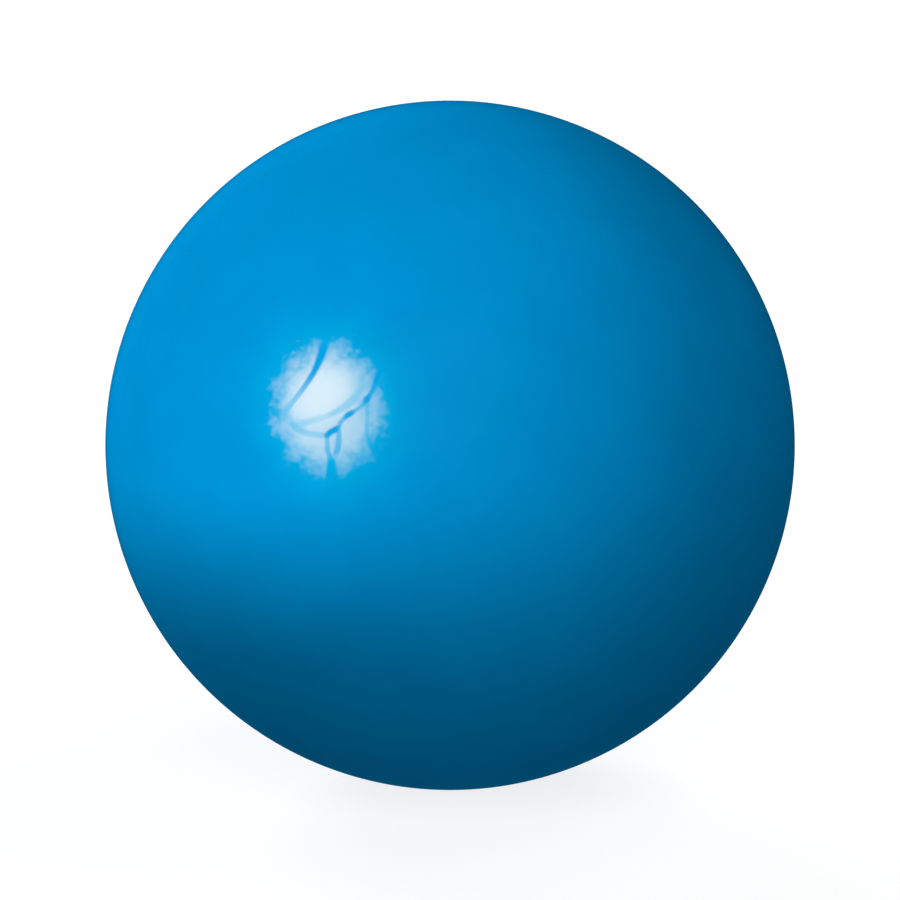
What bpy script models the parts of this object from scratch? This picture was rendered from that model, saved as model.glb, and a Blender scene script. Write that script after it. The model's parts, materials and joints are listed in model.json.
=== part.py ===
"""A hollow rubber dog ball with a reed squeaker pressed into its wall.

Lengths are metres and +Z is up. The origin is the middle of the flat land that the ball
rests on. The squeaker stands over that land, and the two half shells meet at the equator.
"""

from math import acos, asin, cos, pi, radians, sin, sqrt

import bmesh
import bpy
from mathutils import Matrix, Vector

# Fits
CLEARANCE = 0.0003
SEAM_GAP = 0.00005

# Rubber shells
BALL_DIAMETER = 0.065
WALL = 0.006
LAND_WIDTH = 0.002
MOUTH_ROUNDING = 0.0008
LIP_HEIGHT = 0.0024
CEMENT_GROOVE = 0.0012

# Seat of the squeaker, inside the lower shell
SEAT_FLOOR = 0.003
SEAT_COLLAR = 0.004
SEAT_COVER = 0.003
SEAT_LEAD_IN = 0.0008

# Squeaker housing
VENT_DIAMETER = 0.0026
SPIGOT_WALL = 0.0016
SPIGOT_RECESS = 0.0008
SPIGOT_CHAMFER = 0.0004
HOUSING_WALL = 0.0014
AIR_GAP = 0.0017
SOCKET_FLOOR = 0.001
SOCKET_DEPTH = 0.001
BARB_OFFSET = 0.003
BARB_LENGTH = 0.002
BARB_REACH = 0.001
HEADROOM = 0.001

# Squeaker cap
CAP_THICKNESS = 0.0012
CAP_CHAMFER = 0.0004
CAP_SKIRT_LENGTH = 0.0015
CAP_SKIRT_WALL = 0.001
CAP_HOLES = 6
CAP_HOLE_DIAMETER = 0.0014

# Reed and what clamps it
BLOCK_WALL = 0.002
BLOCK_FOOT = 0.001
BLOCK_CROWN = 0.0016
BLOCK_CHAMFER = 0.0004
BORE_CUT = 0.0007
CLAMP_LENGTH = 0.0025
SLOT_LENGTH = 0.004
SLEEVE_WALL = 0.001
REED_THICKNESS = 0.00025
REED_MARGIN = 0.00085
REED_LAP = 0.0008
REED_SET = radians(4.0)

# Facets: sides of a full turn, and steps along an arc
BALL_SIDES = 60
PLASTIC_SIDES = 36
HOLE_SIDES = 12
OUTER_STEPS = 15
INNER_STEPS = 9
ROUNDING_STEPS = 4
SMOOTH_ANGLE = radians(32.0)
CUT_PAST = 0.002
MERGE_DISTANCE = 1e-7

# Finishes: linear colour and roughness
BLUE_RUBBER = (0.0, 0.28, 0.65), 0.1
RUBBER_CEMENT = (0.01, 0.06, 0.13), 0.6
WHITE_PLASTIC = (0.80, 0.80, 0.77), 0.45
MILKY_PLASTIC = (0.62, 0.66, 0.68), 0.4
REED_FILM = (0.55, 0.60, 0.62), 0.3

# The ball, from the sizes above
ball_radius = BALL_DIAMETER / 2
hollow_radius = ball_radius - WALL
lap_radius = ball_radius - WALL / 2
lip_radius = lap_radius - CLEARANCE
groove_leg = min(CEMENT_GROOVE, (lip_radius - hollow_radius) / 2)

# The reed and its block, outwards from the vent's axis
vent_radius = VENT_DIAMETER / 2
block_radius = vent_radius + BLOCK_WALL
block_fit = block_radius + CLEARANCE
sleeve_radius = block_fit + SLEEVE_WALL
flat_depth = vent_radius - BORE_CUT
reed_width = 2 * (sqrt(vent_radius**2 - flat_depth**2) + REED_MARGIN)
reed_depth = flat_depth + CLEARANCE + REED_THICKNESS / 2
wedge_depth = reed_depth + REED_THICKNESS / 2 + CLEARANCE

# The housing and its cap, round the sleeve
housing_bore = sleeve_radius + AIR_GAP
housing_radius = housing_bore + HOUSING_WALL
barb_radius = housing_radius + BARB_REACH
spigot_radius = vent_radius + SPIGOT_WALL
skirt_radius = housing_bore - CLEARANCE
skirt_bore = skirt_radius - CAP_SKIRT_WALL

# Heights in the squeaker, from the underside of its housing
squeaker_height = SEAT_FLOOR + CLEARANCE
spigot_tip = SPIGOT_RECESS - squeaker_height
housing_floor = SOCKET_FLOOR + SOCKET_DEPTH
barb_top = BARB_OFFSET + BARB_LENGTH
block_bottom = SOCKET_FLOOR + CLEARANCE
foot_top = housing_floor + BLOCK_FOOT
clamp_bottom = foot_top + CLEARANCE
clamp_top = clamp_bottom + CLAMP_LENGTH
bore_top = clamp_top + SLOT_LENGTH
block_top = bore_top + BLOCK_CROWN
housing_rim = block_top + HEADROOM
cap_bottom = housing_rim + CLEARANCE
cap_top = cap_bottom + CAP_THICKNESS

# The mouth and seat in the lower shell, round the housing
mouth_radius = spigot_radius + CLEARANCE
land_radius = mouth_radius + MOUTH_ROUNDING + LAND_WIDTH
pocket_radius = housing_radius + CLEARANCE
collar_radius = pocket_radius + SEAT_COLLAR
centre_height = sqrt(ball_radius**2 - land_radius**2)
groove_bottom = squeaker_height + BARB_OFFSET
groove_top = squeaker_height + barb_top + CLEARANCE
wall_at_collar = centre_height - sqrt(hollow_radius**2 - collar_radius**2)
collar_top = max(groove_top, wall_at_collar) + SEAT_COVER
lip_top = centre_height + LIP_HEIGHT


def clear_scene():
    for thing in list(bpy.data.objects):
        bpy.data.objects.remove(thing, do_unlink=True)


def material(name, colour, roughness):
    made = bpy.data.materials.new(name)
    made.use_nodes = True
    shader = made.node_tree.nodes["Principled BSDF"]
    shader.inputs["Base Color"].default_value = (*colour, 1.0)
    shader.inputs["Roughness"].default_value = roughness
    shader.inputs["Metallic"].default_value = 0.0
    return made


def arc(centre, radius, start, end, steps):
    """Points (radius, height) along a circle in the half plane, from one angle to another."""
    angles = [start + (end - start) * step / steps for step in range(steps + 1)]
    return [(centre[0] + radius * cos(a), centre[1] + radius * sin(a)) for a in angles]


def ball_arc(radius, start, end, steps):
    """An arc about the ball's centre, its angles counted up from the equator."""
    return arc((0.0, centre_height), radius, start, end, steps)


def add_object(name, shape, finish, parent=None):
    """A linked object from a bmesh, smooth but for its real edges."""
    mesh = bpy.data.meshes.new(name)
    shape.to_mesh(mesh)
    shape.free()
    mesh.shade_smooth()
    mesh.set_sharp_from_angle(angle=SMOOTH_ANGLE)
    made = bpy.data.objects.new(name, mesh)
    bpy.context.scene.collection.objects.link(made)
    made.parent = parent
    if finish:
        mesh.materials.append(finish)
    return made


def turned_shape(profile, sides):
    """A bmesh of the profile spun round the Z axis. A profile off the axis closes on itself."""
    shape = bmesh.new()
    points = [shape.verts.new((radius, 0.0, height)) for radius, height in profile]
    edges = [shape.edges.new(pair) for pair in zip(points, points[1:])]
    if profile[0][0] > 0:
        edges.append(shape.edges.new((points[-1], points[0])))
    bmesh.ops.spin(
        shape, geom=points + edges, axis=(0, 0, 1), angle=2 * pi, steps=sides, use_merge=True
    )
    bmesh.ops.remove_doubles(shape, verts=shape.verts, dist=MERGE_DISTANCE)
    bmesh.ops.recalc_face_normals(shape, faces=shape.faces)
    return shape


def turned(name, profile, sides, finish, parent=None):
    return add_object(name, turned_shape(profile, sides), finish, parent)


def box_shape(low, high):
    middle = (Vector(low) + Vector(high)) / 2
    sizes = Vector(high) - Vector(low)
    shape = bmesh.new()
    place = Matrix.Translation(middle) @ Matrix.Diagonal((*sizes, 1.0))
    bmesh.ops.create_cube(shape, size=1.0, matrix=place)
    return shape


def cut(target, name, shape, place=(0.0, 0.0, 0.0)):
    """Takes a shape out of the target. The cutter beside it stays as a hidden guide."""
    cutter = add_object(name, shape, None, target.parent)
    cutter.location = place
    cutter.hide_render = True
    cutter.display_type = "WIRE"
    boolean = target.modifiers.new(name, "BOOLEAN")
    boolean.operation = "DIFFERENCE"
    boolean.solver = "EXACT"
    boolean.object = cutter


def upper_shell(rubber):
    """The upper half: its edge is stepped at mid-wall, and the step is bevelled inside."""
    step_height = lip_top + CLEARANCE
    inner_edge = asin((step_height + groove_leg - centre_height) / hollow_radius)
    hollow = ball_arc(hollow_radius, inner_edge, pi / 2, INNER_STEPS)
    outside = ball_arc(ball_radius, pi / 2, asin(SEAM_GAP / ball_radius), OUTER_STEPS)
    outside[0] = (0.0, outside[0][1])
    hollow[-1] = (0.0, hollow[-1][1])
    step = [
        (lap_radius, outside[-1][1]),
        (lap_radius, step_height),
        (hollow[0][0] + groove_leg, step_height),
    ]
    turned("upper_shell", outside + step + hollow, BALL_SIDES, rubber)


def seat_profile():
    """The squeaker's seat from the mouth upwards: floor, pocket with its groove, and collar."""
    groove_radius = barb_radius + CLEARANCE
    return [
        (mouth_radius, SEAT_FLOOR),
        (pocket_radius, SEAT_FLOOR),
        (pocket_radius, groove_bottom),
        (groove_radius, groove_top - CLEARANCE),
        (groove_radius, groove_top),
        (pocket_radius, groove_top),
        (pocket_radius, collar_top - SEAT_LEAD_IN),
        (pocket_radius + SEAT_LEAD_IN, collar_top),
        (collar_radius, collar_top),
    ]


def lower_shell(rubber):
    """The lower half: a lip for the upper half's step, a flat land, and the squeaker's seat."""
    outside = ball_arc(ball_radius, 0.0, -acos(land_radius / ball_radius), OUTER_STEPS)
    outside[-1] = (land_radius, 0.0)
    rounding_centre = (mouth_radius + MOUTH_ROUNDING, MOUTH_ROUNDING)
    rounding = arc(rounding_centre, MOUTH_ROUNDING, -pi / 2, -pi, ROUNDING_STEPS)
    inner_edge = asin((lip_top - groove_leg - centre_height) / hollow_radius)
    collar_edge = -acos(collar_radius / hollow_radius)
    hollow = ball_arc(hollow_radius, collar_edge, inner_edge, INNER_STEPS)
    lip = [
        (hollow[-1][0] + groove_leg, lip_top),
        (lip_radius, lip_top),
        (lip_radius, centre_height),
    ]
    turned("lower_shell", outside + rounding + seat_profile() + hollow + lip, BALL_SIDES, rubber)


def seam_cement(cement):
    """A three-sided bead in the groove that the two bevelled edges leave inside the joint."""
    middle = lip_top + CLEARANCE / 2
    half = groove_leg + CLEARANCE / 2 - CLEARANCE * sqrt(2)
    upper_edge = lip_top + CLEARANCE + groove_leg - centre_height
    inner = sqrt(hollow_radius**2 - upper_edge**2)
    bead = [(inner, middle + half), (inner + half, middle), (inner, middle - half)]
    turned("seam_cement", bead, BALL_SIDES, cement)


def squeaker_housing(plastic, squeaker):
    """A cup with a barb outside, a vent spigot below, and a socket in its floor."""
    profile = [
        (vent_radius, spigot_tip),
        (spigot_radius - SPIGOT_CHAMFER, spigot_tip),
        (spigot_radius, spigot_tip + SPIGOT_CHAMFER),
        (spigot_radius, 0.0),
        (housing_radius, 0.0),
        (housing_radius, BARB_OFFSET),
        (barb_radius, barb_top),
        (housing_radius, barb_top),
        (housing_radius, housing_rim),
        (housing_bore, housing_rim),
        (housing_bore, housing_floor),
        (block_fit, housing_floor),
        (block_fit, SOCKET_FLOOR),
        (vent_radius, SOCKET_FLOOR),
    ]
    turned("squeaker_housing", profile, PLASTIC_SIDES, plastic, squeaker)


def squeaker_cap(plastic, squeaker):
    """A plug with a skirt that fits the housing, drilled with a ring of air holes."""
    profile = [
        (0.0, cap_top),
        (housing_radius - CAP_CHAMFER, cap_top),
        (housing_radius, cap_top - CAP_CHAMFER),
        (housing_radius, cap_bottom),
        (skirt_radius, cap_bottom),
        (skirt_radius, housing_rim - CAP_SKIRT_LENGTH),
        (skirt_bore, housing_rim - CAP_SKIRT_LENGTH),
        (skirt_bore, cap_bottom),
        (0.0, cap_bottom),
    ]
    cap = turned("squeaker_cap", profile, PLASTIC_SIDES, plastic, squeaker)
    hole_circle = skirt_bore / 2
    for number in range(CAP_HOLES):
        turn = 2 * pi * number / CAP_HOLES
        place = (hole_circle * cos(turn), hole_circle * sin(turn), 0.0)
        cut(cap, f"cap_hole_{number + 1}", drill(CAP_HOLE_DIAMETER / 2, cap_bottom, cap_top), place)


def drill(radius, low, high):
    """A round cutter that runs past both of its ends."""
    rod = [(0.0, high + CUT_PAST), (radius, high + CUT_PAST), (radius, low - CUT_PAST)]
    return turned_shape(rod + [(0.0, low - CUT_PAST)], HOLE_SIDES)


def reed_block(plastic, squeaker):
    """A post with a flat side. Its blind air way breaks through the flat as the reed's slot."""
    profile = [
        (0.0, block_top),
        (block_radius - BLOCK_CHAMFER, block_top),
        (block_radius, block_top - BLOCK_CHAMFER),
        (block_radius, block_bottom),
        (0.0, block_bottom),
    ]
    block = turned("reed_block", profile, PLASTIC_SIDES, plastic, squeaker)
    reach = block_radius + CUT_PAST
    flat = box_shape((-reach, -reach, foot_top), (reach, -flat_depth, block_top + CUT_PAST))
    cut(block, "block_flat", flat)
    cut(block, "block_air_way", drill(vent_radius, block_bottom, bore_top - CUT_PAST))


def reed_wedge(plastic, squeaker):
    """The half-round piece that presses the root of the reed against the block's flat."""
    profile = [
        (0.0, clamp_top),
        (block_radius, clamp_top),
        (block_radius, clamp_bottom),
        (0.0, clamp_bottom),
    ]
    wedge = turned("reed_wedge", profile, PLASTIC_SIDES, plastic, squeaker)
    reach = block_radius + CUT_PAST
    low = (-reach, -wedge_depth, clamp_bottom - CUT_PAST)
    cut(wedge, "wedge_flat", box_shape(low, (reach, reach, clamp_top + CUT_PAST)))


def reed_sleeve(plastic, squeaker):
    """The ring that holds block, reed and wedge together."""
    profile = [
        (block_fit, clamp_top),
        (sleeve_radius, clamp_top),
        (sleeve_radius, clamp_bottom),
        (block_fit, clamp_bottom),
    ]
    turned("reed_sleeve", profile, PLASTIC_SIDES, plastic, squeaker)


def reed(film, squeaker):
    """A flat tongue, set a little open. Its origin is on the line that it bends about."""
    tongue = SLOT_LENGTH + REED_LAP
    lean = Vector((-sin(REED_SET), cos(REED_SET)))
    across = Vector((cos(REED_SET), sin(REED_SET)))
    half = REED_THICKNESS / 2
    corner = half / cos(REED_SET / 2)
    bend = Vector((cos(REED_SET / 2), sin(REED_SET / 2))) * corner
    front = [Vector((half, -CLAMP_LENGTH)), bend, lean * tongue + across * half]
    back = [lean * tongue - across * half, -bend, Vector((-half, -CLAMP_LENGTH))]
    shape = bmesh.new()
    side = [shape.verts.new((-reed_width / 2, y, z)) for y, z in front + back]
    outline = shape.faces.new(side)
    grown = bmesh.ops.extrude_face_region(shape, geom=[outline])["geom"]
    moved = [part for part in grown if isinstance(part, bmesh.types.BMVert)]
    bmesh.ops.translate(shape, verts=moved, vec=(reed_width, 0.0, 0.0))
    bmesh.ops.recalc_face_normals(shape, faces=shape.faces)
    made = add_object("reed", shape, film, squeaker)
    made.location = (0.0, -reed_depth, clamp_top)


def build():
    clear_scene()
    rubber = material("blue_rubber", *BLUE_RUBBER)
    cement = material("rubber_cement", *RUBBER_CEMENT)
    white_plastic = material("white_plastic", *WHITE_PLASTIC)
    milky_plastic = material("milky_plastic", *MILKY_PLASTIC)
    film = material("reed_film", *REED_FILM)
    upper_shell(rubber)
    lower_shell(rubber)
    seam_cement(cement)
    squeaker = bpy.data.objects.new("squeaker", None)
    bpy.context.scene.collection.objects.link(squeaker)
    squeaker.location = (0.0, 0.0, squeaker_height)
    squeaker_housing(white_plastic, squeaker)
    squeaker_cap(white_plastic, squeaker)
    reed_block(milky_plastic, squeaker)
    reed_wedge(milky_plastic, squeaker)
    reed_sleeve(milky_plastic, squeaker)
    reed(film, squeaker)


build()
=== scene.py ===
"""The looks of the rubber dog ball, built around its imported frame. Metres, +Z up."""

import json
from math import acos, asin, atan, cos, pi, radians, sin, sqrt, tan

import bmesh
import bpy
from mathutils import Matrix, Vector


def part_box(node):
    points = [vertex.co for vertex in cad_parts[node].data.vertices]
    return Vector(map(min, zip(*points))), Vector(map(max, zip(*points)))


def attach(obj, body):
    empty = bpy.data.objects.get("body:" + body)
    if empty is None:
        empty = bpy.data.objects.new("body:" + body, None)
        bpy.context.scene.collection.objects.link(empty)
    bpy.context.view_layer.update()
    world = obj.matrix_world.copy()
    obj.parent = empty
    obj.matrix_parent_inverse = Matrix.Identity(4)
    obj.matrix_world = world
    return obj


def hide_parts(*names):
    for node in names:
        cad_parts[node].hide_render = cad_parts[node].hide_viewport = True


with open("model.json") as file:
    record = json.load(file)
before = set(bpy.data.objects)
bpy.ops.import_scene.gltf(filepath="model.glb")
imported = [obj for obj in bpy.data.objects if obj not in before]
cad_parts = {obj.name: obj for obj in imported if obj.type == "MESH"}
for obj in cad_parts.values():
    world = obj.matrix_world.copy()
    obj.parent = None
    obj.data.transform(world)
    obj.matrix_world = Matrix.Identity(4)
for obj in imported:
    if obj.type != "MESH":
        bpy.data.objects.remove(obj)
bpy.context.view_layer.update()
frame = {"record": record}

# Sizes read from the frame
ball_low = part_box("lower_shell")[0]
ball_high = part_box("upper_shell")[1]
BALL_RADIUS = -ball_low.x
CENTRE = Vector((0.0, 0.0, ball_high.z - BALL_RADIUS))
LAND_RADIUS = sqrt(BALL_RADIUS**2 - CENTRE.z**2)
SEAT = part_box("squeaker_housing")

# Sizes that the CAD gives to the pieces redrawn here
WALL = 0.006
CLEARANCE = 0.0003
LIP_HEIGHT = 0.0024
CEMENT_GROOVE = 0.0012
MOUTH_ROUNDING = 0.0008
SPIGOT_RADIUS = 0.0029
SPIGOT_CHAMFER = 0.0004
VENT_RADIUS = 0.0013
SEAT_FLOOR = 0.003
BARB_FOOT = 0.0063
BARB_TOP = 0.0083
BARB_REACH = 0.001
HOUSING_WALL = 0.0014
HOUSING_FLOOR = 0.0053
SOCKET_FLOOR = 0.0043
SOCKET_RADIUS = 0.0036
SEAT_COLLAR = 0.004
SEAT_COVER = 0.003
SEAT_LEAD_IN = 0.0008
PLASTIC_EDGE = 0.00025
BEAD_BULGE = 0.0003
CAP_THICKNESS = 0.0012
CAP_CHAMFER = 0.0004
CAP_SKIRT_WALL = 0.001
CAP_HOLES = 6
CAP_HOLE_RADIUS = 0.0007
HOLE_FLARE = 0.00012
BLOCK_EDGE = 0.0004
BLOCK_FOOT_TOP = 0.0063
BLOCK_FLAT = 0.0006
BORE_TOP = 0.0131
REED_THICKNESS = 0.00025
REED_CURVE = 1.3
REED_ROUNDING = 0.0008

# Fineness of the redrawn pieces
SKIN_SIDES = 192
PLASTIC_SIDES = 96
HOLE_SIDES = 48
REED_STEPS = 20
CUT_PAST = 0.0005
SKIN_STEPS = 96
HOLLOW_STEPS = 40
EDGE_STEPS = 5
EASE_PARTS = 3
SEAM_GUARD = radians(0.02)
MERGE_DISTANCE = 1e-7
WELD_DISTANCE = 1e-6
FLAT_ANGLE = radians(0.1)
SMOOTH_ANGLE = radians(30.0)

# The photograph's frame: where the ball lies in it, in pixels
FRAME_SIDE = 900.0
BALL_CENTRE_PX = (450.07, 445.31)
BALL_RADIUS_PX = 344.84
CAMERA_ELEVATION = radians(12.0)
LENS = 200.0
SENSOR = 36.0
CAMERA_CLIP = (0.01, 100.0)

# Colours, linear
WHITE = (1.0, 1.0, 1.0)
RUBBER_BLUE = (0.0, 0.283, 0.655)
CEMENT_BLUE = (0.01, 0.06, 0.13)
WHITE_PLASTIC = (0.80, 0.80, 0.77)
MILKY_PLASTIC = (0.62, 0.66, 0.68)
REED_FILM = (0.55, 0.60, 0.62)


class Wire:
    """A node's output. Arithmetic on it adds Math nodes to its sheet."""

    def __init__(self, sheet, socket):
        self.sheet = sheet
        self.socket = socket

    def math(self, operation, *values):
        """A Math node on these values."""
        settings = {"operation": operation}
        return self.sheet.node("ShaderNodeMath", settings, dict(enumerate(values)))

    def __add__(self, other):
        return self.math("ADD", self, other)

    __radd__ = __add__

    def __sub__(self, other):
        return self.math("SUBTRACT", self, other)

    def __rsub__(self, other):
        return self.math("SUBTRACT", other, self)

    def __mul__(self, other):
        return self.math("MULTIPLY", self, other)

    __rmul__ = __mul__

    def __truediv__(self, other):
        return self.math("DIVIDE", self, other)

    def __rtruediv__(self, other):
        return self.math("DIVIDE", other, self)

    def __pow__(self, other):
        return self.math("POWER", self, other)

    def most(self, other):
        """The larger of two values."""
        return self.math("MAXIMUM", self, other)

    def apply(self, operation):
        """A Math node of one value, such as FLOOR."""
        return self.math(operation, self)

    def out(self, name):
        """Another output of the same node."""
        return Wire(self.sheet, self.socket.node.outputs[name])


class Sheet:
    """A node tree, with one way to add any node to it."""

    def __init__(self, tree):
        self.tree = tree

    def node(self, kind, settings=None, values=None, out=0):
        """Adds a node: its settings first, then the values or links of its sockets."""
        made = self.tree.nodes.new(kind)
        for name, value in (settings or {}).items():
            setattr(made, name, value)
        for key, value in (values or {}).items():
            self.feed(made.inputs[key], value)
        return Wire(self, made.outputs[out])

    def feed(self, socket, value):
        """Links a wire to a socket, or sets the socket's own value."""
        if isinstance(value, Wire):
            self.tree.links.new(value.socket, socket)
        else:
            socket.default_value = value

    def smooth_step(self, value, low, high):
        """0 up to low, 1 from high on, and an eased slope between."""
        settings = {"interpolation_type": "SMOOTHSTEP"}
        values = {"Value": value, "From Min": low, "From Max": high}
        return self.node("ShaderNodeMapRange", settings, values)

    def blend(self, factor, first, second):
        """A colour between two colours."""
        values = {"Factor": factor, 6: first, 7: second}
        return self.node("ShaderNodeMix", {"data_type": "RGBA"}, values, out=2)

    def noise(self, scale, detail=2.0, roughness=0.5, place=None):
        """A cloudy noise from 0 to 1, over the object unless a place is given."""
        place = place or self.node("ShaderNodeTexCoord", out="Object")
        values = {"Vector": place, "Scale": scale, "Detail": detail, "Roughness": roughness}
        return self.node("ShaderNodeTexNoise", {}, values)

    def bump(self, height, depth, normal=None):
        """A normal bumped by a height, to a depth in metres, on top of any other normal."""
        values = {"Height": height, "Distance": depth}
        if normal:
            values["Normal"] = normal
        return self.node("ShaderNodeBump", {}, values)


# Pieces


def add_thing(name, data):
    """A new object in the scene."""
    made = bpy.data.objects.new(name, data)
    bpy.context.scene.collection.objects.link(made)
    return made


def arc(centre, radius, start, end, steps):
    """Points (radius, height) along a circle in the half plane, from one angle to another."""
    angles = [start + (end - start) * step / steps for step in range(steps + 1)]
    return [(centre[0] + radius * cos(a), centre[1] + radius * sin(a)) for a in angles]


def eased(corners, width):
    """The closed outline with each corner off the axis rounded by a short curve.

    A curve takes no more than one part in EASE_PARTS of a side.
    """
    made = []
    for number, corner in enumerate(corners):
        if corner[0] < MERGE_DISTANCE:
            made.append(corner)
            continue
        point = Vector(corner)
        before = Vector(corners[number - 1]) - point
        after = Vector(corners[(number + 1) % len(corners)]) - point
        reach = min(width, before.length / EASE_PARTS, after.length / EASE_PARTS)
        first = point + before.normalized() * reach
        last = point + after.normalized() * reach
        for step in range(EDGE_STEPS + 1):
            t = step / EDGE_STEPS
            made.append(tuple(first * (1 - t) ** 2 + point * 2 * t * (1 - t) + last * t * t))
    return made


LATHE_INPUTS = {
    "Outline": "NodeSocketGeometry",
    "Sides": "NodeSocketInt",
    "Merge Distance": "NodeSocketFloat",
    "Finish": "NodeSocketMaterial",
}


def lathe_tree():
    """Geometry nodes that spin an outline of (radius, 0, height) points once round the Z axis."""
    tree = bpy.data.node_groups.new("lathe", "GeometryNodeTree")
    for name, kind in LATHE_INPUTS.items():
        tree.interface.new_socket(name=name, in_out="INPUT", socket_type=kind)
    tree.interface.new_socket(name="Piece", in_out="OUTPUT", socket_type="NodeSocketGeometry")
    sheet = Sheet(tree)
    inputs = tree.nodes.new("NodeGroupInput")
    outline, sides, merge, finish = (Wire(sheet, inputs.outputs[name]) for name in LATHE_INPUTS)
    count = sheet.node("GeometryNodeAttributeDomainSize", {}, {"Geometry": outline})
    grid_sizes = {"Vertices X": sides + 1, "Vertices Y": count}
    grid = sheet.node("GeometryNodeMeshGrid", {}, grid_sizes)
    index = sheet.node("GeometryNodeInputIndex")
    column = ((index + 0.5) / count).apply("FLOOR")
    row = index - column * count
    reading = {"Geometry": outline, "Value": sheet.node("GeometryNodeInputPosition"), "Index": row}
    spot = sheet.node("GeometryNodeSampleIndex", {"data_type": "FLOAT_VECTOR"}, reading)
    turn = column * (2 * pi) / sides
    parts = sheet.node("ShaderNodeSeparateXYZ", {}, {"Vector": spot})
    across = parts.out("X") * turn.apply("COSINE")
    along = parts.out("X") * turn.apply("SINE")
    place = sheet.node("ShaderNodeCombineXYZ", {}, {"X": across, "Y": along, "Z": parts.out("Z")})
    spun = sheet.node("GeometryNodeSetPosition", {}, {"Geometry": grid, "Position": place})
    closed = sheet.node("GeometryNodeMergeByDistance", {}, {"Geometry": spun, "Distance": merge})
    real = sheet.node("GeometryNodeRealizeInstances", {}, {"Geometry": closed})
    done = sheet.node("GeometryNodeSetMaterial", {}, {"Geometry": real, "Material": finish})
    output = tree.nodes.new("NodeGroupOutput")
    tree.links.new(done.socket, output.inputs["Piece"])
    return tree


LATHE = lathe_tree()


def turned(name, outline, sides, finish):
    """One closed piece from an outline of (radius, height) points, off the axis or ending on it."""
    ring = outline if outline[0][0] < MERGE_DISTANCE else outline + outline[:1]
    guide = bpy.data.meshes.new(name)
    edges = [(number, number + 1) for number in range(len(ring) - 1)]
    guide.from_pydata([(radius, 0.0, height) for radius, height in ring], edges, [])
    made = add_thing(name, guide)
    lathe = made.modifiers.new("lathe", "NODES")
    lathe.node_group = LATHE
    settings = {"Sides": sides, "Merge Distance": MERGE_DISTANCE, "Finish": finish}
    for item in LATHE.interface.items_tree:
        if item.name in settings:
            lathe[item.identifier] = settings[item.name]
    graph = bpy.context.evaluated_depsgraph_get()
    mesh = bpy.data.meshes.new_from_object(made.evaluated_get(graph))
    made.modifiers.remove(lathe)
    made.data = mesh
    face_outwards(mesh)
    return made


def face_outwards(mesh):
    """Turns all faces outwards and shades them smooth, apart from sharp edges."""
    shape = bmesh.new()
    shape.from_mesh(mesh)
    bmesh.ops.recalc_face_normals(shape, faces=shape.faces)
    shape.to_mesh(mesh)
    shape.free()
    mesh.shade_smooth()
    mesh.set_sharp_from_angle(angle=SMOOTH_ANGLE)


def skin_arc(start, end):
    """An arc of the outside. A last short step by the seam keeps the shading straight there."""
    guard = SEAM_GUARD if end < start else -SEAM_GUARD
    ball = (0.0, CENTRE.z)
    last = arc(ball, BALL_RADIUS, end, end, 1)[:1]
    return arc(ball, BALL_RADIUS, start, end + guard, SKIN_STEPS) + last


def upper_skin(rubber):
    """The upper half: smooth outside, stepped at mid-wall, bevelled inside for the cement."""
    hollow_radius = BALL_RADIUS - WALL
    lap = BALL_RADIUS - WALL / 2
    step_height = CENTRE.z + LIP_HEIGHT + CLEARANCE
    edge = asin((LIP_HEIGHT + CLEARANCE + CEMENT_GROOVE) / hollow_radius)
    outside = skin_arc(pi / 2, 0.0)
    hollow = arc((0.0, CENTRE.z), hollow_radius, edge, pi / 2, HOLLOW_STEPS)
    outside[0] = (0.0, outside[0][1])
    hollow[-1] = (0.0, hollow[-1][1])
    step = [(lap, CENTRE.z), (lap, step_height), (hollow[0][0] + CEMENT_GROOVE, step_height)]
    return turned("upper_skin", outside + step + hollow, SKIN_SIDES, rubber)


def seat_outline():
    """The squeaker's seat from the mouth upwards: floor, pocket with its groove, and collar."""
    barb = SEAT[1].x
    pocket = barb - BARB_REACH + CLEARANCE
    groove_top = BARB_TOP + CLEARANCE
    collar_top = groove_top + SEAT_COVER
    return [
        (SPIGOT_RADIUS + CLEARANCE, SEAT_FLOOR),
        (pocket, SEAT_FLOOR),
        (pocket, BARB_FOOT),
        (barb + CLEARANCE, BARB_TOP),
        (barb + CLEARANCE, groove_top),
        (pocket, groove_top),
        (pocket, collar_top - SEAT_LEAD_IN),
        (pocket + SEAT_LEAD_IN, collar_top),
        (pocket + SEAT_COLLAR, collar_top),
    ]


def lower_skin(rubber):
    """The lower half: smooth outside, flat land, rounded mouth, seat, and the lip of the joint."""
    hollow_radius = BALL_RADIUS - WALL
    outside = skin_arc(-acos(LAND_RADIUS / BALL_RADIUS), 0.0)[::-1]
    outside[-1] = (LAND_RADIUS, 0.0)
    mouth = SPIGOT_RADIUS + CLEARANCE
    rounding_centre = (mouth + MOUTH_ROUNDING, MOUTH_ROUNDING)
    rounding = arc(rounding_centre, MOUTH_ROUNDING, -pi / 2, -pi, 2 * EDGE_STEPS)
    seat = seat_outline()
    collar_edge = -acos(seat[-1][0] / hollow_radius)
    lip_edge = asin((LIP_HEIGHT - CEMENT_GROOVE) / hollow_radius)
    hollow = arc((0.0, CENTRE.z), hollow_radius, collar_edge, lip_edge, HOLLOW_STEPS)
    lip_radius = BALL_RADIUS - WALL / 2 - CLEARANCE
    lip_top = CENTRE.z + LIP_HEIGHT
    lip = [(hollow[-1][0] + CEMENT_GROOVE, lip_top), (lip_radius, lip_top), (lip_radius, CENTRE.z)]
    return turned("lower_skin", outside + rounding + seat + hollow + lip, SKIN_SIDES, rubber)


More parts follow.
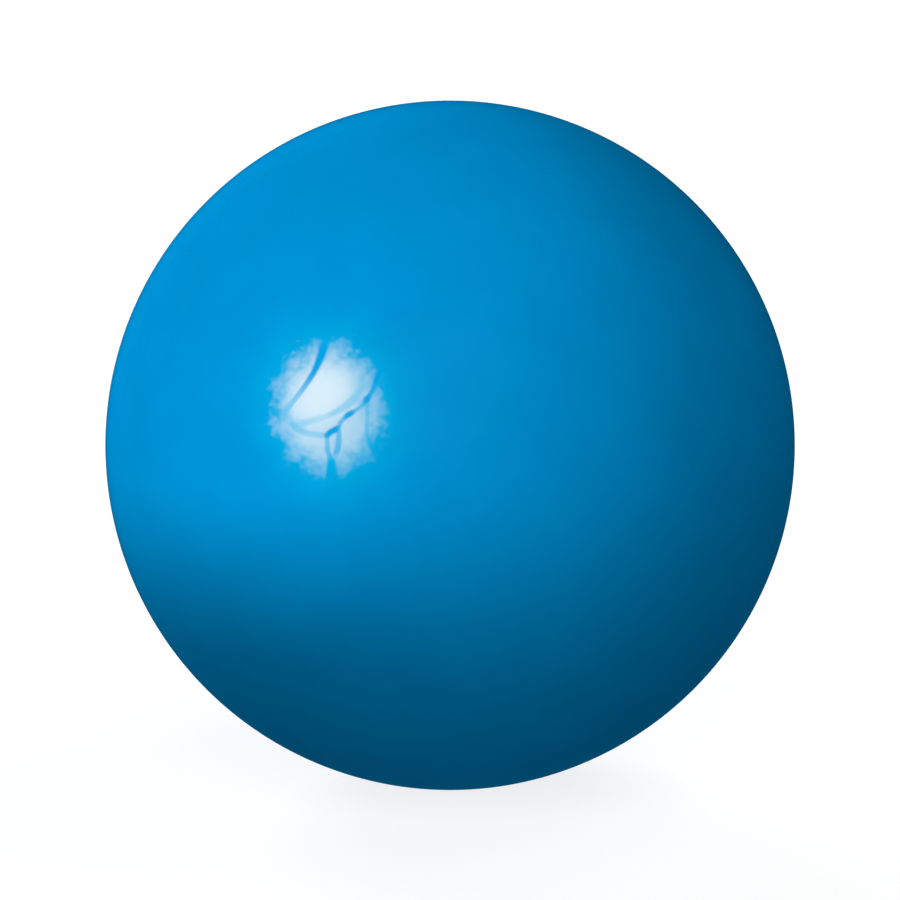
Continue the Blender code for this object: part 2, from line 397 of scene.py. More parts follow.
def housing_cup(plastic):
    """The squeaker's cup with eased edges. Its spigot shows in the mouth of the ball."""
    low, high = SEAT
    wall = high.x - BARB_REACH
    bore = wall - HOUSING_WALL
    base = SEAT_FLOOR + CLEARANCE
    corners = [
        (VENT_RADIUS, low.z),
        (SPIGOT_RADIUS - SPIGOT_CHAMFER, low.z),
        (SPIGOT_RADIUS, low.z + SPIGOT_CHAMFER),
        (SPIGOT_RADIUS, base),
        (wall, base),
        (wall, BARB_FOOT),
        (high.x, BARB_TOP),
        (wall, BARB_TOP),
        (wall, high.z),
        (bore, high.z),
        (bore, HOUSING_FLOOR),
        (SOCKET_RADIUS, HOUSING_FLOOR),
        (SOCKET_RADIUS, SOCKET_FLOOR),
        (VENT_RADIUS, SOCKET_FLOOR),
    ]
    return turned("housing_cup", eased(corners, PLASTIC_EDGE), PLASTIC_SIDES, plastic)


def bead_ring(cement):
    """The cement in the groove inside the joint. Its open side bulges a little."""
    low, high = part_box("seam_cement")
    middle = (low.z + high.z) / 2
    half = (high.z - low.z) / 2
    face = high.x - half
    bulge_radius = (half**2 + BEAD_BULGE**2) / (2 * BEAD_BULGE)
    spread = asin(half / bulge_radius)
    bulge_centre = (face - BEAD_BULGE + bulge_radius, middle)
    bulge = arc(bulge_centre, bulge_radius, pi - spread, pi + spread, 2 * EDGE_STEPS)
    return turned("bead_ring", bulge + [(high.x, middle)], SKIN_SIDES, cement)


def vented_cap(plastic):
    """The plug that closes the cup: a disc with a skirt, drilled with a ring of air holes."""
    low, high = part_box("squeaker_cap")
    underside = high.z - CAP_THICKNESS
    skirt = high.x - HOUSING_WALL - CLEARANCE
    skirt_bore = skirt - CAP_SKIRT_WALL
    corners = [
        (0.0, high.z),
        (high.x - CAP_CHAMFER, high.z),
        (high.x, high.z - CAP_CHAMFER),
        (high.x, underside),
        (skirt, underside),
        (skirt, low.z),
        (skirt_bore, low.z),
        (skirt_bore, underside),
        (0.0, underside),
    ]
    made = turned("vented_cap", eased(corners, PLASTIC_EDGE), PLASTIC_SIDES, plastic)
    ring = skirt_bore / 2
    drills = []
    for number in range(CAP_HOLES):
        turn = 2 * pi * number / CAP_HOLES
        cutter = drill("cap_drill", CAP_HOLE_RADIUS, underside, high.z, plastic)
        cutter.location = (ring * cos(turn), ring * sin(turn), 0.0)
        drills.append(cutter)
    carve(made, drills)
    return made


def drill(name, radius, low, high, finish):
    """A round cutter that flares at both faces, so that the hole it leaves has eased edges."""
    flare = radius + HOLE_FLARE
    corners = [
        (0.0, high + CUT_PAST),
        (flare + CUT_PAST, high + CUT_PAST),
        (radius, high - HOLE_FLARE),
        (radius, low + HOLE_FLARE),
        (flare + CUT_PAST, low - CUT_PAST),
        (0.0, low - CUT_PAST),
    ]
    return turned(name, corners, HOLE_SIDES, finish)


def box_cutter(name, low, high):
    """A box between two corners."""
    shape = bmesh.new()
    bmesh.ops.create_cube(shape, size=1.0)
    for corner in shape.verts:
        corner.co = [a if side < 0 else b for side, a, b in zip(corner.co, low, high)]
    data = bpy.data.meshes.new(name)
    shape.to_mesh(data)
    shape.free()
    return add_thing(name, data)


def carve(piece, cutters):
    """Takes the cutters out of the piece and leaves a plain mesh."""
    for cutter in cutters:
        boolean = piece.modifiers.new("carve", "BOOLEAN")
        boolean.operation = "DIFFERENCE"
        boolean.solver = "EXACT"
        boolean.object = cutter
    graph = bpy.context.evaluated_depsgraph_get()
    mesh = bpy.data.meshes.new_from_object(piece.evaluated_get(graph))
    piece.modifiers.clear()
    piece.data = mesh
    for cutter in cutters:
        bpy.data.objects.remove(cutter)
    weld(mesh)
    face_outwards(mesh)


def weld(mesh):
    """Joins points that a cut leaves side by side, and flat faces that it splits."""
    shape = bmesh.new()
    shape.from_mesh(mesh)
    bmesh.ops.remove_doubles(shape, verts=shape.verts, dist=WELD_DISTANCE)
    bmesh.ops.dissolve_degenerate(shape, edges=shape.edges, dist=WELD_DISTANCE)
    bmesh.ops.dissolve_limit(shape, angle_limit=FLAT_ANGLE, verts=shape.verts, edges=shape.edges)
    shape.to_mesh(mesh)
    shape.free()


def slotted_post(plastic):
    """The reed's block: a round post with a flat side and a blind air way that opens in the flat."""
    low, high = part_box("reed_block")
    corners = [(0.0, high.z), (high.x, high.z), (high.x, low.z), (0.0, low.z)]
    made = turned("slotted_post", eased(corners, BLOCK_EDGE), PLASTIC_SIDES, plastic)
    flat_low = (-2 * high.x, -2 * high.x, BLOCK_FOOT_TOP)
    flat_high = (2 * high.x, -BLOCK_FLAT, high.z + CUT_PAST)
    past = low.z - CUT_PAST
    bore = [(0.0, BORE_TOP), (VENT_RADIUS, BORE_TOP), (VENT_RADIUS, past), (0.0, past)]
    air_way = turned("bore_cutter", bore, HOLE_SIDES, plastic)
    carve(made, [box_cutter("flat_cutter", flat_low, flat_high), air_way])
    return made


def clamp_wedge(plastic):
    """The half-round wedge that presses the root of the reed against the post."""
    low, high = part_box("reed_wedge")
    corners = [(0.0, high.z), (high.x, high.z), (high.x, low.z), (0.0, low.z)]
    made = turned("clamp_wedge", eased(corners, PLASTIC_EDGE), PLASTIC_SIDES, plastic)
    far = (2 * high.x, 2 * high.x, high.z + CUT_PAST)
    carve(made, [box_cutter("wedge_cutter", (-2 * high.x, high.y, low.z - CUT_PAST), far)])
    return made


def clamp_ring(plastic):
    """The sleeve round post, reed and wedge."""
    low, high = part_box("reed_sleeve")
    corners = [(SOCKET_RADIUS, high.z), (high.x, high.z), (high.x, low.z), (SOCKET_RADIUS, low.z)]
    return turned("clamp_ring", eased(corners, PLASTIC_EDGE), PLASTIC_SIDES, plastic)


def tongue_row(height, low, high, bend_height):
    """The reed's four corners at a height: bent away from the post, narrower by its rounded end."""
    root_y = high.y - REED_THICKNESS / 2
    tip_y = low.y + REED_THICKNESS / 2
    rise = max(0.0, (height - bend_height) / (high.z - bend_height))
    middle = root_y + (tip_y - root_y) * rise**REED_CURVE
    past = max(0.0, height - high.z + REED_ROUNDING)
    half = high.x - REED_ROUNDING + sqrt(REED_ROUNDING**2 - past**2)
    ring = [(-1, 1), (1, 1), (1, -1), (-1, -1)]
    return [(x * half, middle + y * REED_THICKNESS / 2, height) for x, y in ring]


def bent_tongue(film):
    """The reed: a thin strip that curves away from the post, with a rounded free end."""
    low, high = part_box("reed")
    bend_height = frame["record"]["behaviour"]["joints"][0]["pos_m"][2]
    shape = bmesh.new()
    rows = []
    for step in range(REED_STEPS + 1):
        height = low.z + (high.z - low.z) * sin(pi / 2 * step / REED_STEPS)
        corners = tongue_row(height, low, high, bend_height)
        rows.append([shape.verts.new(corner) for corner in corners])
    for lower, upper in zip(rows, rows[1:]):
        for side in range(len(lower)):
            shape.faces.new((lower[side - 1], lower[side], upper[side], upper[side - 1]))
    shape.faces.new(rows[0])
    shape.faces.new(rows[-1])
    data = bpy.data.meshes.new("bent_tongue")
    shape.to_mesh(data)
    shape.free()
    data.materials.append(film)
    face_outwards(data)
    return add_thing("bent_tongue", data)


# Finishes


def new_finish(name):
    """A material with its sheet and its Principled shader."""
    made = bpy.data.materials.new(name)
    made.use_nodes = True
    return made, Sheet(made.node_tree), made.node_tree.nodes["Principled BSDF"]


def tinted(colour, by=1.0):
    """A colour made darker or lighter, with full alpha."""
    return (*(part * by for part in colour), 1.0)


# The rubber: scales are per metre, depths in metres
PATCH_SCALE = 180.0
PATCH_DETAIL = 3.0
PATCH_EDGE = (0.3, 0.7)
RUBBER_SHADES = (0.975, 1.02)
GLOSS = 0.04
GLOSS_SHIFT = 0.2
WAVE_SCALE = 70.0
WAVE_DETAIL = 1.0
WAVE_DEPTH = 0.00001
GRAIN_SCALE = 1500.0
GRAIN_DEPTH = 0.0000004

# The other materials, each with its colour, its roughness and the scale of its grain
MOTTLE_SCALE = 600.0
MOTTLE_SHADE = 0.94
MOTTLE_ROUGHNESS = 0.1
PLASTIC_GRAIN_DEPTH = 0.000004
PLASTICS = {
    "white_plastic": (WHITE_PLASTIC, 0.4, 4000.0),
    "milky_plastic": (MILKY_PLASTIC, 0.35, 5000.0),
    "rubber_cement": (CEMENT_BLUE, 0.55, 2500.0),
    "reed_film": (REED_FILM, 0.25, 7000.0),
}


def cloudy(sheet, scale):
    """Soft patches, from 0 to 1."""
    return sheet.smooth_step(sheet.noise(scale, detail=PATCH_DETAIL), *PATCH_EDGE)


def rubber_finish():
    """Glossy moulded rubber with faint cloudy patches, slow waves and a fine grain."""
    made, sheet, shader = new_finish("blue_rubber")
    patches = cloudy(sheet, PATCH_SCALE)
    darker, lighter = (tinted(RUBBER_BLUE, shade) for shade in RUBBER_SHADES)
    sheet.feed(shader.inputs["Base Color"], sheet.blend(patches, darker, lighter))
    sheet.feed(shader.inputs["Roughness"], GLOSS * (1.0 + GLOSS_SHIFT * patches))
    waves = sheet.bump(sheet.noise(WAVE_SCALE, detail=WAVE_DETAIL), WAVE_DEPTH)
    grain = sheet.bump(sheet.noise(GRAIN_SCALE), GRAIN_DEPTH, waves)
    sheet.feed(shader.inputs["Normal"], grain)
    return made


def plastic_finish(name, colour, roughness, grain):
    """Moulded plastic with a fine matt grain and slightly uneven colour."""
    made, sheet, shader = new_finish(name)
    patches = cloudy(sheet, MOTTLE_SCALE)
    mottled = sheet.blend(patches, tinted(colour, MOTTLE_SHADE), tinted(colour))
    sheet.feed(shader.inputs["Base Color"], mottled)
    sheet.feed(shader.inputs["Roughness"], roughness + MOTTLE_ROUGHNESS * patches)
    sheet.feed(shader.inputs["Normal"], sheet.bump(sheet.noise(grain), PLASTIC_GRAIN_DEPTH))
    return made


# Stage


def direction(azimuth, elevation):
    """From the ball towards a lamp or camera.

    Azimuth 0 is the photograph's side, and it grows to the right.
    """
    return Vector((
        sin(azimuth) * cos(elevation),
        -cos(azimuth) * cos(elevation),
        sin(elevation),
    ))


def look_from(thing, place, target):
    """Puts a lamp or camera in its place and turns it to its target."""
    thing.location = place
    thing.rotation_mode = "QUATERNION"
    thing.rotation_quaternion = (place - target).to_track_quat("Z", "Y")


FOCAL_PX = FRAME_SIDE * LENS / SENSOR
CAMERA_DISTANCE = BALL_RADIUS / sin(atan(BALL_RADIUS_PX / FOCAL_PX))


def add_camera():
    """The camera that puts the ball where the photograph has it."""
    data = bpy.data.cameras.new("camera")
    data.lens = LENS
    data.sensor_width = SENSOR
    data.dof.use_dof = False
    data.clip_start, data.clip_end = CAMERA_CLIP
    made = add_thing("camera", data)
    back = direction(0.0, CAMERA_ELEVATION)
    right = Vector((1.0, 0.0, 0.0))
    pixel = CAMERA_DISTANCE / FOCAL_PX
    off_right = (FRAME_SIDE / 2 - BALL_CENTRE_PX[0]) * pixel
    off_up = (BALL_CENTRE_PX[1] - FRAME_SIDE / 2) * pixel
    aim = CENTRE + right * off_right + back.cross(right) * off_up
    look_from(made, CENTRE + back * CAMERA_DISTANCE, aim)
    bpy.context.scene.camera = made
    return made


LAMP_DISTANCE = 4.0
KEY_AZIMUTH = radians(-47.0)
KEY_ELEVATION = radians(12.0)

# Each lamp's azimuth, elevation, level and half angle, as seen from the ball
LAMPS = {
    "key": (KEY_AZIMUTH, KEY_ELEVATION, 0.665, radians(10.0)),
    "top": (radians(-7.0), radians(32.5), 0.40, radians(25.0)),
    "left_rim": (radians(-158.0), radians(14.0), 0.95, radians(12.0)),
    "right": (radians(115.0), radians(51.0), 0.26, radians(25.0)),
}


def add_lamps():
    """Round soft lamps. At level 1 a surface that faces the lamp shows its colour as written."""
    made = {}
    for name, (azimuth, elevation, level, spread) in LAMPS.items():
        data = bpy.data.lights.new(name, "AREA")
        data.shape = "DISK"
        data.size = 2 * LAMP_DISTANCE * tan(spread)
        data.energy = level * (pi * LAMP_DISTANCE / cos(spread)) ** 2
        made[name] = add_thing(name, data)
        look_from(made[name], CENTRE + direction(azimuth, elevation) * LAMP_DISTANCE, CENTRE)
        made[name].visible_camera = False
        made[name].visible_glossy = False
    return made


def only_seen(thing, *rays):
    """Leaves a stage object visible to the named kinds of rays alone."""
    for ray in ("camera", "diffuse", "glossy", "transmission", "volume_scatter", "shadow"):
        setattr(thing, "visible_" + ray, ray in rays)


FLAG_DISTANCE = 0.073
FLAG_WIDTH = 0.12
FLAG_HEIGHT = 0.04
FLAG_EDGE = -0.39 * BALL_RADIUS
FLAG_TILT = radians(6.1)


def add_flag(lamps):
    """A low black card that keeps the key light off the underside of the ball."""
    outwards = direction(KEY_AZIMUTH, KEY_ELEVATION)
    level = direction(KEY_AZIMUTH, KEY_ELEVATION + pi / 2)
    up = level * cos(FLAG_TILT) + outwards.cross(level) * sin(FLAG_TILT)
    across = up.cross(outwards)
    top = CENTRE + outwards * FLAG_DISTANCE + up * FLAG_EDGE
    half = across * FLAG_WIDTH / 2
    foot = top - up * FLAG_HEIGHT
    data = bpy.data.meshes.new("flag")
    data.from_pydata([top - half, top + half, foot + half, foot - half], [], [(0, 1, 2, 3)])
    made = add_thing("flag", data)
    only_seen(made, "shadow")
    kept_out = bpy.data.collections.new("flag_only_for_key")
    kept_out.objects.link(made)
    kept_out.collection_objects[0].light_linking.link_state = "EXCLUDE"
    for name, lamp in lamps.items():
        if name != "key":
            lamp.light_linking.blocker_collection = kept_out


def stage_material(name):
    """An empty material with its sheet. What glows in it isn't sampled as a lamp."""
    made = bpy.data.materials.new(name)
    made.use_nodes = True
    made.cycles.emission_sampling = "NONE"
    made.node_tree.nodes.clear()
    return made, Sheet(made.node_tree)


def finish_with(made, sheet, surface):
    """The stage material, with its surface linked."""
    output = made.node_tree.nodes.new("ShaderNodeOutputMaterial")
    sheet.feed(output.inputs["Surface"], surface)
    return made


TENT_RADIUS = 8.0
TENT_SIDE = (-0.8, 0.0, 0.6)
TENT_DARK = 0.25
TENT_TURN = (-0.2, 0.34)


def add_tent():
    """A blue tent that only the gloss sees, so that the white room doesn't pale the ball's rim."""
    bpy.ops.mesh.primitive_uv_sphere_add(radius=TENT_RADIUS, location=CENTRE)
    tent = bpy.context.object
    tent.name = "tent"
    made, sheet = stage_material("tent")
    place = sheet.node("ShaderNodeTexCoord", out="Object")
    towards = {0: place, 1: TENT_SIDE}
    side = sheet.node("ShaderNodeVectorMath", {"operation": "DOT_PRODUCT"}, towards, out="Value")
    bright = sheet.smooth_step(side / TENT_RADIUS, *TENT_TURN)
    colour = sheet.blend(bright, tinted(RUBBER_BLUE, TENT_DARK), tinted(RUBBER_BLUE))
    shine = sheet.node("ShaderNodeEmission", {}, {"Color": colour})
    tent.data.materials.append(finish_with(made, sheet, shine))
    only_seen(tent, "glossy")


# The mirrored lamp: an umbrella with its ribs and stand, placed by where the highlight shows it

UMBRELLA_DISTANCE = 0.8
GLOSS_SHARE = 0.04
GLOW_PX = (329.0, 408.5)
GLOW_SIZE_PX = (62.0, 73.0)
CLOTH_COLOUR = (1.0, 0.6, 0.23)
CLOTH_REACH = 2.4
CLOTH_RINGS = 24
CLOTH_SIDES = 48
MARGIN_LEVEL = 0.51
MARGIN_FADE = (0.35, 1.07)
MARGIN_EDGE = (0.9, 0.96)
MARGIN_TILT = (0.25, 0.12)
CORE_PX = (321.0, 394.0)
CORE_SIZE_PX = (38.0, 33.0)
CORE_TURN = radians(41.5)
CORE_LEVEL = 0.70
CORE_FADE = (0.23, 1.12)
NOISE_MIDDLE = 0.5
CRUMB_PX = 6.0
CRUMB_DETAIL = 6.0
CRUMB_ROUGHNESS = 0.75
CRUMB_SHIFT = 0.75
LUMP_PX = 21.0
LUMP_SHIFT = 0.5
GAP_PX = (331.5, 456.0)
GAP_HALF_WIDTH = 3.5
GAP_FLARE = 0.12
GAP_SOFTNESS = 1.5
GAP_START = 4.0
HALO_COLOUR = (0.0, 1.0, 0.75)
HALO_LEVEL = 0.13
HALO_FADE = (0.6, 2.1)
HALO_POWER = 2.4
HALO_PATCH_PX = 26.0
HALO_SHIFT = 0.4
RIB_GAP = 0.03
RIB_STEP = 0.004
RIB_SAMPLES = 8
RIB_SPREAD = 1.3
RIB_EDGE = (0.5, 1.0)
RIB_COLOUR = (0.0, 0.27, 0.46)
FAINT_RIB_COLOUR = (0.0, 1.0, 0.6)
RIB_LEVEL = 0.3

# Each rib by points of the highlight: x and y, half width, and the share of the light that it takes
RIBS = {
    "left_rib": [
        (325.0, 341.0, 3.6, 0.6),
        (324.0, 346.0, 4.3, 1.0),
        (320.6, 357.0, 4.3, 1.0),
        (313.9, 371.9, 3.1, 1.0),
        (305.4, 385.4, 2.7, 0.85),
        (296.2, 397.5, 2.7, 0.65),
        (288.8, 407.3, 2.7, 0.55),
        (285.0, 414.0, 3.0, 0.35),
        (282.5, 421.0, 3.4, 0.0),
    ],
    "middle_rib": [
        (364.0, 381.0, 3.6, 0.0),
        (353.4, 398.6, 4.0, 0.42),
        (342.0, 408.0, 3.2, 0.45),
        (333.4, 413.0, 2.8, 0.5),
        (323.4, 417.0, 2.8, 0.28),
        (309.0, 421.4, 3.4, 0.35),
        (299.0, 423.6, 3.4, 0.35),
        (286.0, 424.0, 3.4, 0.0),
    ],
    "lower_rib": [
        (287.0, 417.0, 3.2, 0.0),
        (294.0, 426.5, 3.2, 0.45),
        (303.4, 432.0, 3.2, 0.45),
        (313.4, 434.0, 3.2, 0.4),
        (326.0, 435.5, 2.8, 0.45),
    ],
    "right_rib": [
        (326.3, 436.0, 2.2, 0.7),
        (337.7, 428.6, 2.2, 0.9),
        (341.0, 421.5, 2.0, 0.75),
        (349.5, 414.5, 2.2, 0.85),
        (360.6, 407.0, 1.9, 0.65),
        (367.0, 399.3, 2.4, 0.9),
        (372.7, 390.0, 2.5, 0.9),
        (376.3, 380.0, 2.9, 1.0),
        (381.0, 366.0, 3.2, 1.0),
    ],
    "left_bead": [(325.4, 436.6, 2.6, 1.0), (331.4, 431.5, 3.3, 1.0), (337.6, 427.6, 2.6, 1.0)],
    "middle_bead": [(344.0, 417.2, 2.1, 0.9), (349.1, 414.2, 3.1, 1.0), (354.2, 411.4, 2.1, 0.9)],
    "right_bead": [(364.4, 402.8, 2.1, 0.9), (367.0, 399.3, 3.6, 1.0), (369.4, 395.8, 2.1, 0.9)],
    "left_leg": [
        (327.0, 437.0, 2.2, 0.65),
        (328.2, 451.0, 2.4, 0.65),
        (330.0, 457.0, 2.6, 0.7),
        (331.0, 463.0, 2.6, 0.0),
    ],
    "right_leg": [
        (339.0, 429.0, 2.6, 0.65),
        (338.4, 444.3, 3.0, 0.75),
        (336.5, 453.0, 3.2, 0.7),
        (334.0, 461.0, 3.0, 0.0),
    ],
    "far_leg": [
        (367.0, 403.0, 2.2, 0.5),
        (367.6, 418.6, 2.2, 0.5),
        (367.0, 433.0, 2.2, 0.55),
        (370.6, 444.3, 2.8, 0.75),
        (375.0, 453.0, 3.2, 0.9),
    ],
}


def mirrored(camera, spot, distance):
    """The place that the ball mirrors at a pixel of the photograph, at a distance from the ball."""
    ray = camera.rotation_quaternion @ Vector((
        (spot[0] - FRAME_SIDE / 2) / FOCAL_PX,
        (FRAME_SIDE / 2 - spot[1]) / FOCAL_PX,
        -1.0,
    )).normalized()
    gap = camera.location - CENTRE
    half_way = -ray.dot(gap)
    reach = half_way - sqrt(half_way**2 - gap.length_squared + BALL_RADIUS**2)
    hit = camera.location + ray * reach
    return hit + ray.reflect((hit - CENTRE).normalized()) * distance


def strip(name, corners, columns, notes, finish):
    """A stage mesh of rows of points, with numbers at each point that its material reads."""
    faces = []
    for row in range(len(corners) // columns - 1):
        for column in range(columns - 1):
            first = row * columns + column
            faces.append((first, first + 1, first + columns + 1, first + columns))
    data = bpy.data.meshes.new(name)
    data.from_pydata(corners, [], faces)
    data.materials.append(finish)
    field = data.attributes.new("notes", "FLOAT_VECTOR", "POINT")
    for number, note in enumerate(notes):
        field.data[number].vector = note
    made = add_thing(name, data)
    only_seen(made, "glossy")


def read_notes(sheet):
    """The numbers kept at the points of a stage mesh, together and as three values."""
    notes = sheet.node("ShaderNodeAttribute", {"attribute_name": "notes"}, out="Vector")
    parts = sheet.node("ShaderNodeSeparateXYZ", {}, {"Vector": notes})
    return notes, [parts.out(name) for name in ("X", "Y", "Z")]


def uneven(sheet, size, place, **settings):
    """A noise about 0, with lumps of a size in pixels."""
    return sheet.noise(1.0 / size, place=place, **settings) - NOISE_MIDDLE


def cloth_finish():
    """A glowing cloth: a bright middle, a paler ragged margin, and a faint blue-green halo."""
    made, sheet = stage_material("umbrella_cloth")
    place, (x, y, _) = read_notes(sheet)
    crumbs = uneven(sheet, CRUMB_PX, place, detail=CRUMB_DETAIL, roughness=CRUMB_ROUGHNESS)
    lumps = uneven(sheet, LUMP_PX, place)
    patches = uneven(sheet, HALO_PATCH_PX, place)
    from_middle = ((x / GLOW_SIZE_PX[0]) ** 2 + (y / GLOW_SIZE_PX[1]) ** 2).apply("SQRT")
    ragged = from_middle + CRUMB_SHIFT * crumbs + LUMP_SHIFT * lumps
    edge = (1.0 - sheet.smooth_step(ragged, *MARGIN_EDGE)) * (1.0 - cloth_gap(sheet, x, y))
    tilt = 1.0 - x * (MARGIN_TILT[0] / GLOW_SIZE_PX[0]) - y * (MARGIN_TILT[1] / GLOW_SIZE_PX[1])
    margin = edge * tilt * MARGIN_LEVEL * (1.0 - sheet.smooth_step(ragged, *MARGIN_FADE))
    core = cloth_core(sheet, x, y)
    white = margin + core * (CORE_LEVEL - margin)
    halo = (1.0 - sheet.smooth_step(from_middle + HALO_SHIFT * patches, *HALO_FADE)) ** HALO_POWER
    lights = [
        glow(sheet, white, CLOTH_COLOUR, 1.0 / GLOSS_SHARE),
        glow(sheet, halo, HALO_COLOUR, HALO_LEVEL / GLOSS_SHARE),
    ]
    both = sheet.node("ShaderNodeAddShader", {}, dict(enumerate(lights)))
    clear = sheet.node("ShaderNodeBsdfTransparent")
    surface = sheet.node("ShaderNodeAddShader", {}, {0: both, 1: clear})
    return finish_with(made, sheet, surface)


def glow(sheet, share, colour, strength):
    """Light of one colour, by a share from 0 to 1."""
    tone = sheet.blend(share, tinted(colour, 0.0), tinted(colour))
    return sheet.node("ShaderNodeEmission", {}, {"Color": tone, "Strength": strength})


def cloth_gap(sheet, x, y):
    """1 in the gap below the legs of the stand, 0 outside it."""
    below = y - (GAP_PX[1] - GLOW_PX[1])
    beside = (x - (GAP_PX[0] - GLOW_PX[0])).apply("ABSOLUTE")
    depth = GAP_HALF_WIDTH + GAP_FLARE * below - beside
    inside = sheet.smooth_step(depth, -GAP_SOFTNESS, GAP_SOFTNESS)
    return inside * sheet.smooth_step(below, 0.0, GAP_START)


def cloth_core(sheet, x, y):
    """1 in the bright slanting middle of the cloth, 0 outside it."""
    core_x = x - (CORE_PX[0] - GLOW_PX[0])
    core_y = y - (CORE_PX[1] - GLOW_PX[1])
    long_way = (core_x * cos(CORE_TURN) - core_y * sin(CORE_TURN)) / CORE_SIZE_PX[0]
    short_way = (core_x * sin(CORE_TURN) + core_y * cos(CORE_TURN)) / CORE_SIZE_PX[1]
    from_core = (long_way**2 + short_way**2).apply("SQRT")
    return 1.0 - sheet.smooth_step(from_core, *CORE_FADE)


def add_cloth(camera):
    """The umbrella's dish, by rings round the highlight. Its points keep their pixel offsets."""
    notes = []
    for ring in range(CLOTH_RINGS + 1):
        reach = CLOTH_REACH * ring / CLOTH_RINGS
        for side in range(CLOTH_SIDES + 1):
            turn = 2 * pi * side / CLOTH_SIDES
            x = GLOW_SIZE_PX[0] * reach * cos(turn)
            y = GLOW_SIZE_PX[1] * reach * sin(turn)
            notes.append((x, y, 0.0))
    spots = [(GLOW_PX[0] + x, GLOW_PX[1] + y) for x, y, _ in notes]
    corners = [mirrored(camera, spot, UMBRELLA_DISTANCE) for spot in spots]
    strip("umbrella_cloth", corners, CLOTH_SIDES + 1, notes, cloth_finish())


def rib_finish():
    """Dim blue across the middle of a bar and clear towards its edges. A faint bar is greener."""
    made, sheet = stage_material("umbrella_rib")
    _, (cover, across, _) = read_notes(sheet)
    share = cover * (1.0 - sheet.smooth_step(across.apply("ABSOLUTE"), *RIB_EDGE))
    tone = sheet.blend(cover, tinted(FAINT_RIB_COLOUR), tinted(RIB_COLOUR))
    dim = sheet.node("ShaderNodeEmission", {}, {"Color": tone, "Strength": RIB_LEVEL / GLOSS_SHARE})
    clear = sheet.node("ShaderNodeBsdfTransparent")
    surface = sheet.node("ShaderNodeMixShader", {}, {0: share, 1: clear, 2: dim})
    return finish_with(made, sheet, surface)


def through(points):
    """A smooth line through points of any number of values."""
    points = [Vector(point) for point in points]
    ends = [2 * points[0] - points[1], *points, 2 * points[-1] - points[-2]]
    made = []
    for a, b, c, d in zip(ends, ends[1:], ends[2:], ends[3:]):
        for step in range(RIB_SAMPLES):
            t = step / RIB_SAMPLES
            bend = (c - a) * t + (2 * a - 5 * b + 4 * c - d) * t**2 + (3 * b - 3 * c + d - a) * t**3
            made.append(b + bend / 2)
    return made + [points[-1]]


def add_ribs(camera):
    """The bars of the umbrella, in front of its cloth, each a ribbon as the highlight shows it."""
    finish = rib_finish()
    for number, (name, points) in enumerate(RIBS.items()):
        distance = UMBRELLA_DISTANCE - RIB_GAP - RIB_STEP * number
        line = through(points)
        corners = []
        notes = []
        for before, here, after in zip(line[:1] + line, line, line[1:] + line[-1:]):
            along = (after - before).xy.normalized()
            for across in (-1.0, 0.0, 1.0):
                spot = here.xy + along.orthogonal() * across * here.z * RIB_SPREAD
                corners.append(mirrored(camera, spot, distance))
                notes.append((here.w, across, 0.0))
        strip(name, corners, 3, notes, finish)


FLOOR_SIZE = 40.0
FLOOR_DROP = 0.00005
FLOOR_GLOW = 0.83
FLOOR_SHADE = 0.33
FLOOR_FILL = 0.2


def seen(sheet):
    """1 for what the camera sees, also in gloss or through glass."""
    rays = [
        sheet.node("ShaderNodeLightPath", out=name)
        for name in ("Is Camera Ray", "Is Glossy Ray", "Is Transmission Ray")
    ]
    return rays[0].most(rays[1]).most(rays[2])


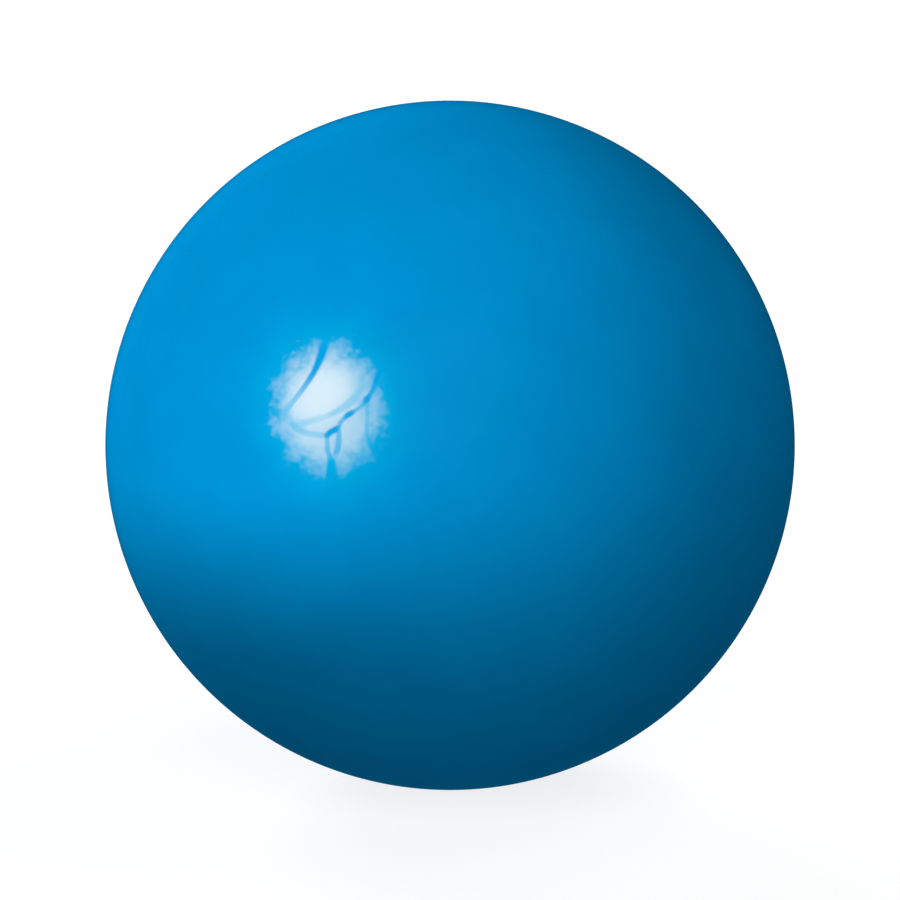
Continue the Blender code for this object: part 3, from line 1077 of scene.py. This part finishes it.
def add_floor():
    """A white floor, a hair below the land, that keeps the shadow and throws back a little light."""
    bpy.ops.mesh.primitive_plane_add(size=FLOOR_SIZE, location=(0.0, 0.0, -FLOOR_DROP))
    floor = bpy.context.object
    floor.name = "floor"
    made, sheet = stage_material("floor")
    light = sheet.node("ShaderNodeEmission", {}, {"Strength": FLOOR_GLOW})
    shade = sheet.node("ShaderNodeBsdfDiffuse", {}, {"Color": tinted(WHITE, FLOOR_SHADE)})
    shown = sheet.node("ShaderNodeAddShader", {}, {0: light, 1: shade})
    fill = sheet.node("ShaderNodeEmission", {}, {"Strength": FLOOR_FILL})
    top = sheet.node("ShaderNodeMixShader", {}, {0: seen(sheet), 1: fill, 2: shown})
    under = sheet.node("ShaderNodeNewGeometry", out="Backfacing")
    clear = sheet.node("ShaderNodeBsdfTransparent")
    surface = sheet.node("ShaderNodeMixShader", {}, {0: under, 1: top, 2: clear})
    floor.data.materials.append(finish_with(made, sheet, surface))
    floor.visible_glossy = False


def add_world():
    """White where it is seen, dark as a light: the lamps do the lighting."""
    world = bpy.data.worlds.new("studio")
    bpy.context.scene.world = world
    world.use_nodes = True
    world.node_tree.nodes.clear()
    sheet = Sheet(world.node_tree)
    values = {"Color": tinted(WHITE), "Strength": seen(sheet)}
    backdrop = sheet.node("ShaderNodeBackground", {}, values)
    output = world.node_tree.nodes.new("ShaderNodeOutputWorld")
    sheet.feed(output.inputs["Surface"], backdrop)


# The whole scene

finishes = {"blue_rubber": rubber_finish()}
for name, look in PLASTICS.items():
    finishes[name] = plastic_finish(name, *look)
for make, node, slot, body in (
    (upper_skin, "upper_shell", "blue_rubber", "ball"),
    (lower_skin, "lower_shell", "blue_rubber", "ball"),
    (bead_ring, "seam_cement", "rubber_cement", "ball"),
    (housing_cup, "squeaker_housing", "white_plastic", "ball"),
    (vented_cap, "squeaker_cap", "white_plastic", "ball"),
    (slotted_post, "reed_block", "milky_plastic", "ball"),
    (clamp_wedge, "reed_wedge", "milky_plastic", "ball"),
    (clamp_ring, "reed_sleeve", "milky_plastic", "ball"),
    (bent_tongue, "reed", "reed_film", "reed"),
):
    piece = make(finishes[slot])
    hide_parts(node)
    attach(piece, body)

camera = add_camera()
add_flag(add_lamps())
add_cloth(camera)
add_ribs(camera)
add_tent()
add_floor()
add_world()
bpy.context.scene.view_settings.view_transform = "Standard"
